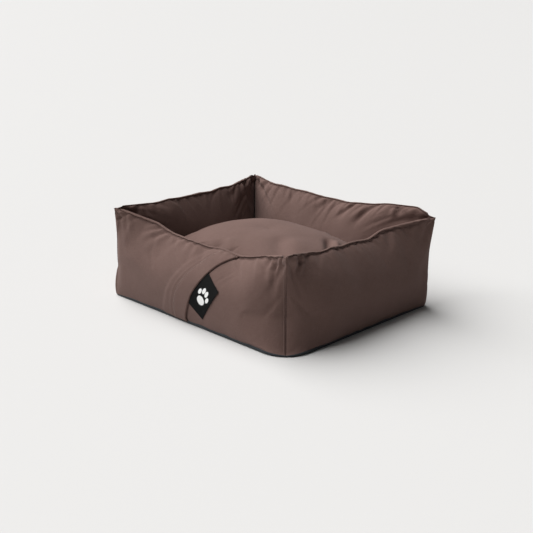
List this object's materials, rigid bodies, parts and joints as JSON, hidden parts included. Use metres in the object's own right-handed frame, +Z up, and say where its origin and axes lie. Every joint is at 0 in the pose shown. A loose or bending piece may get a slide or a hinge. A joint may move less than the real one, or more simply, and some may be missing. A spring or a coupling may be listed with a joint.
{
  "type": "pet cushion bed",
  "caption": "Rectangular tray bed for a small pet: four stuffed canvas walls with pointed corners, a dark base, a diagonal overlap with a label, and a loose crowned cushion.",
  "frame": {"origin": "on the floor under the middle of the bed", "axes": "+X along the long side, +Y from the front (label) wall to the back wall, +Z up"},
  "size_m": [0.5404, 0.4428, 0.2],
  "materials": {
    "canvas": "matte",
    "base_cloth": "matte",
    "fibre_filling": "matte",
    "label_weave": "matte",
    "zip_tape": "matte",
    "slider_metal": "satin"
  },
  "bodies": {
    "tray": {"bolster_filling_front": "fibre_filling", "inner_panel_front": "canvas", "ridge_seam_front": "canvas", "front_panel_overlap": "canvas", "front_panel_underlap": "canvas", "label": "label_weave", "bolster_filling_right": "fibre_filling", "inner_panel_right": "canvas", "ridge_seam_right": "canvas", "outer_panel_right": "canvas", "bolster_filling_back": "fibre_filling", "inner_panel_back": "canvas", "ridge_seam_back": "canvas", "outer_panel_back": "canvas", "bolster_filling_left": "fibre_filling", "inner_panel_left": "canvas", "ridge_seam_left": "canvas", "outer_panel_left": "canvas", "corner_seam_front_left": "canvas", "corner_seam_front_right": "canvas", "corner_seam_back_left": "canvas", "corner_seam_back_right": "canvas", "base_panel": "base_cloth", "base_pad": "fibre_filling", "deck_panel": "canvas"},
    "cushion": {"cushion_cover_top": "canvas", "cushion_cover_bottom": "canvas", "cushion_filling": "fibre_filling", "zip_tape_upper": "zip_tape", "zip_tape_lower": "zip_tape", "zip_chain": "zip_tape", "zip_stop_left": "slider_metal", "zip_stop_right": "slider_metal"},
    "zip_slider": {"zip_slider": "slider_metal"}
  },
  "joints": [
    {"name": "cushion_lift", "type": "slide", "parent": "tray", "child": "cushion", "axis": [0, 0, 1], "range_m": [0, 0.25]},
    {"name": "zip_slide", "type": "slide", "parent": "cushion", "child": "zip_slider", "axis": [1, 0, 0], "range_m": [0, 0.2045]}
  ]
}
